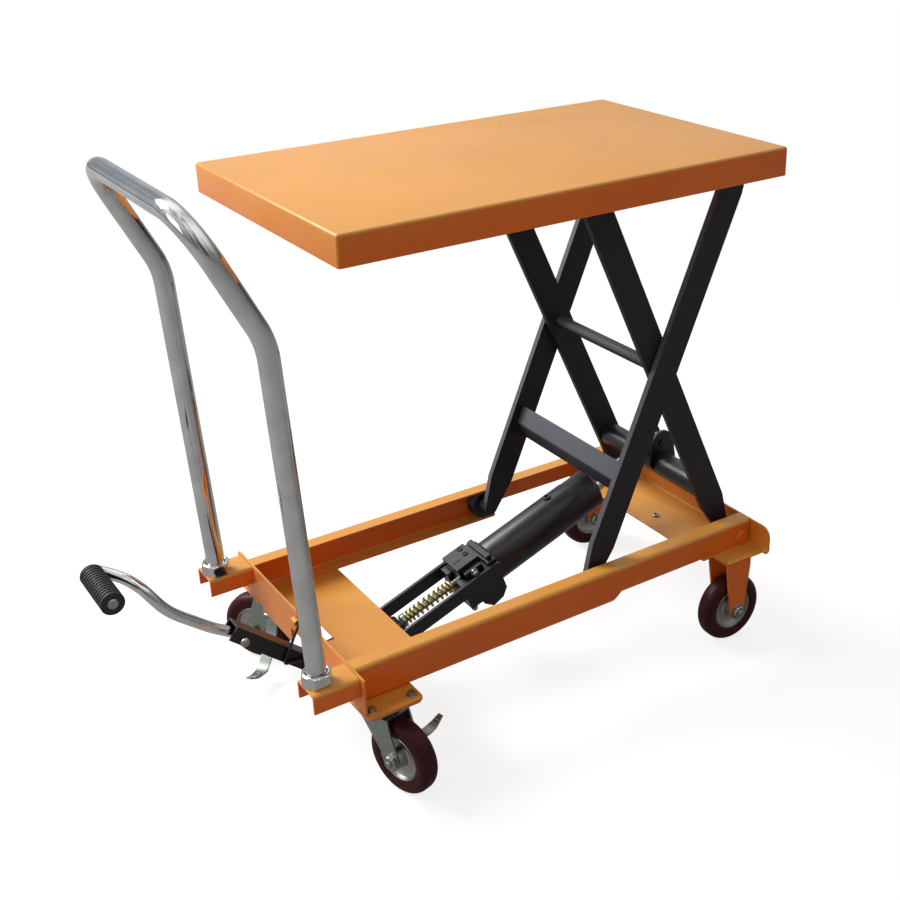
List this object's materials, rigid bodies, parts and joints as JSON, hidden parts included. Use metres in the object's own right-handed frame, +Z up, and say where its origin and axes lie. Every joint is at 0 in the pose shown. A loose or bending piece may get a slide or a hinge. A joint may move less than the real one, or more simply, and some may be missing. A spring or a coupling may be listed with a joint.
{
  "type": "scissor lift table",
  "caption": "Hand-pushed hydraulic scissor lift table with a flat deck, foot-pedal pump, push handle, fixed front wheels and braked swivel casters.",
  "frame": {"origin": "centre of the table's footprint, on the floor", "axes": "+X along the table to the fixed wheels, away from the push handle; +Y across the table to the side away from the pedal bar's bend; +Z up"},
  "size_m": [1.153, 0.6084, 1.0005],
  "materials": {
    "orange_paint": "glossy powder coat",
    "charcoal_paint": "satin paint",
    "black_paint": "gloss paint",
    "chrome": "bright chrome plate",
    "zinc": "zinc plate",
    "yellow_zinc": "yellow passivated zinc plate",
    "maroon_tread": "smooth polyurethane",
    "wheel_core": "cast, grey",
    "black_rubber": "ribbed, matt"
  },
  "bodies": {
    "chassis": {"caster_head_far": "zinc", "caster_head_near": "zinc", "caster_pad_far": "orange_paint", "caster_pad_near": "orange_paint", "floor_tray": "orange_paint", "front_plate": "orange_paint", "handle_bracket_far": "orange_paint", "handle_bracket_near": "orange_paint", "handle_end_plate": "orange_paint", "handle_nut_far": "chrome", "handle_nut_near": "chrome", "lower_pivot_shaft": "charcoal_paint", "pump_foot_bracket_far": "orange_paint", "pump_foot_bracket_near": "orange_paint", "push_handle": "chrome", "rail_far": "orange_paint", "rail_near": "orange_paint", "wheel_fork_far": "orange_paint", "wheel_fork_near": "orange_paint"},
    "inner_frame": {"inner_leg_far": "charcoal_paint", "inner_leg_near": "charcoal_paint", "inner_cross_tube": "black_paint", "centre_axle": "charcoal_paint", "upper_roller_shaft": "charcoal_paint"},
    "outer_frame": {"outer_leg_far": "charcoal_paint", "outer_leg_near": "charcoal_paint", "outer_cross_plate": "charcoal_paint"},
    "platform": {"deck": "orange_paint", "deck_rail_far": "orange_paint", "deck_rail_near": "orange_paint", "upper_pivot_shaft": "charcoal_paint"},
    "lift_rod": {"piston_rod": "chrome"},
    "pump": {"cylinder_barrel": "black_paint", "pump_block": "black_paint", "pump_arm_far": "black_paint", "pump_arm_near": "black_paint"},
    "pump_plunger": {"plunger": "zinc", "plunger_spring": "yellow_zinc"},
    "pedal": {"pedal_channel": "black_paint", "pedal_bar": "chrome", "pedal_grip": "black_rubber"},
    "hook": {"pedal_hook": "black_paint"},
    "upper_roller_far_body": {"upper_roller_far": "zinc"},
    "lower_roller_far_body": {"lower_roller_far": "zinc"},
    "front_wheel_far": {"front_tyre_far": "maroon_tread", "front_core_far": "wheel_core"},
    "caster_far": {"caster_fork_far": "zinc"},
    "caster_wheel_far": {"caster_tyre_far": "maroon_tread", "caster_core_far": "wheel_core"},
    "brake_far": {"caster_brake_far": "zinc"},
    "upper_roller_near_body": {"upper_roller_near": "zinc"},
    "lower_roller_near_body": {"lower_roller_near": "zinc"},
    "front_wheel_near": {"front_tyre_near": "maroon_tread", "front_core_near": "wheel_core"},
    "caster_near": {"caster_fork_near": "zinc"},
    "caster_wheel_near": {"caster_tyre_near": "maroon_tread", "caster_core_near": "wheel_core"},
    "brake_near": {"caster_brake_near": "zinc"}
  },
  "joints": [
    {"name": "lift", "type": "hinge", "parent": "chassis", "child": "inner_frame", "pos_m": [0.5495, 0.00646, 0.19344], "axis": [0, 1, 0], "range_deg": [-54.5, 0]},
    {"name": "crossing", "type": "hinge", "parent": "inner_frame", "child": "outer_frame", "pos_m": [0.38986, 0.00646, 0.55201], "axis": [0, 1, 0], "range_deg": [0, 109]},
    {"name": "platform_pivot", "type": "hinge", "parent": "outer_frame", "child": "platform", "pos_m": [0.5495, 0.00646, 0.91058], "axis": [0, 1, 0], "range_deg": [-54.5, 0]},
    {"name": "rod_swing", "type": "hinge", "parent": "inner_frame", "child": "lift_rod", "pos_m": [0.50839, 0.00646, 0.32511], "axis": [0, 1, 0], "range_deg": [0, 60]},
    {"name": "cylinder_stroke", "type": "slide", "parent": "lift_rod", "child": "pump", "axis": [0.9409, 0, 0.3387], "range_m": [0, 0.112]},
    {"name": "pedal_swing", "type": "hinge", "parent": "pump", "child": "pedal", "pos_m": [-0.1065, 0.00646, 0.13364], "axis": [0, 1, 0], "range_deg": [-26, 0], "stiffness_Nm_per_rad": 10, "springref_deg": 29.79},
    {"name": "plunger_stroke", "type": "slide", "parent": "pump", "child": "pump_plunger", "axis": [0.9409, 0, 0.3387], "range_m": [0, 0.0077], "deforming": ["plunger_spring"]},
    {"name": "hook_swing", "type": "hinge", "parent": "chassis", "child": "hook", "pos_m": [-0.2615, -0.01504, 0.21264], "axis": [0, 1, 0], "range_deg": [0, 100]},
    {"name": "upper_roller_far_spin", "type": "hinge", "parent": "inner_frame", "child": "upper_roller_far_body", "pos_m": [0.23021, 0.00646, 0.91058], "axis": [0, 1, 0], "continuous": true},
    {"name": "lower_roller_far_spin", "type": "hinge", "parent": "outer_frame", "child": "lower_roller_far_body", "pos_m": [0.23021, 0.00646, 0.19344], "axis": [0, 1, 0], "continuous": true},
    {"name": "front_wheel_far_spin", "type": "hinge", "parent": "chassis", "child": "front_wheel_far", "pos_m": [0.5115, 0.22646, 0.06464], "axis": [0, 1, 0], "continuous": true},
    {"name": "caster_far_swivel", "type": "hinge", "parent": "chassis", "child": "caster_far", "pos_m": [-0.2075, 0.21346, -0.00036], "axis": [0, 0, 1], "continuous": true},
    {"name": "caster_wheel_far_spin", "type": "hinge", "parent": "caster_far", "child": "caster_wheel_far", "pos_m": [-0.23157, 0.24541, 0.06464], "axis": [-0.7986, -0.6018, 0], "continuous": true},
    {"name": "brake_far_press", "type": "hinge", "parent": "caster_far", "child": "brake_far", "pos_m": [-0.22688, 0.18884, 0.10764], "axis": [-0.6018, 0.7986, 0], "range_deg": [-18, 0]},
    {"name": "upper_roller_near_spin", "type": "hinge", "parent": "inner_frame", "child": "upper_roller_near_body", "pos_m": [0.23021, 0.00646, 0.91058], "axis": [0, 1, 0], "continuous": true},
    {"name": "lower_roller_near_spin", "type": "hinge", "parent": "outer_frame", "child": "lower_roller_near_body", "pos_m": [0.23021, 0.00646, 0.19344], "axis": [0, 1, 0], "continuous": true},
    {"name": "front_wheel_near_spin", "type": "hinge", "parent": "chassis", "child": "front_wheel_near", "pos_m": [0.5115, -0.21354, 0.06464], "axis": [0, 1, 0], "continuous": true},
    {"name": "caster_near_swivel", "type": "hinge", "parent": "chassis", "child": "caster_near", "pos_m": [-0.2075, -0.20054, -0.00036], "axis": [0, 0, 1], "continuous": true},
    {"name": "caster_wheel_near_spin", "type": "hinge", "parent": "caster_near", "child": "caster_wheel_near", "pos_m": [-0.19715, -0.23917, 0.06464], "axis": [0.9659, 0.2588, 0], "continuous": true},
    {"name": "brake_near_press", "type": "hinge", "parent": "caster_near", "child": "brake_near", "pos_m": [-0.1803, -0.18497, 0.10764], "axis": [0.2588, -0.9659, 0], "range_deg": [-18, 0]}
  ],
  "couplings": [
    {"joint": "crossing", "follows": "lift", "ratio": -2},
    {"joint": "platform_pivot", "follows": "lift", "ratio": 1},
    {"joint": "rod_swing", "follows": "lift", "ratio": -1.0968},
    {"joint": "cylinder_stroke", "follows": "lift", "m_per_rad": -0.11752},
    {"joint": "plunger_stroke", "follows": "pedal_swing", "m_per_rad": -0.016748}
  ]
}
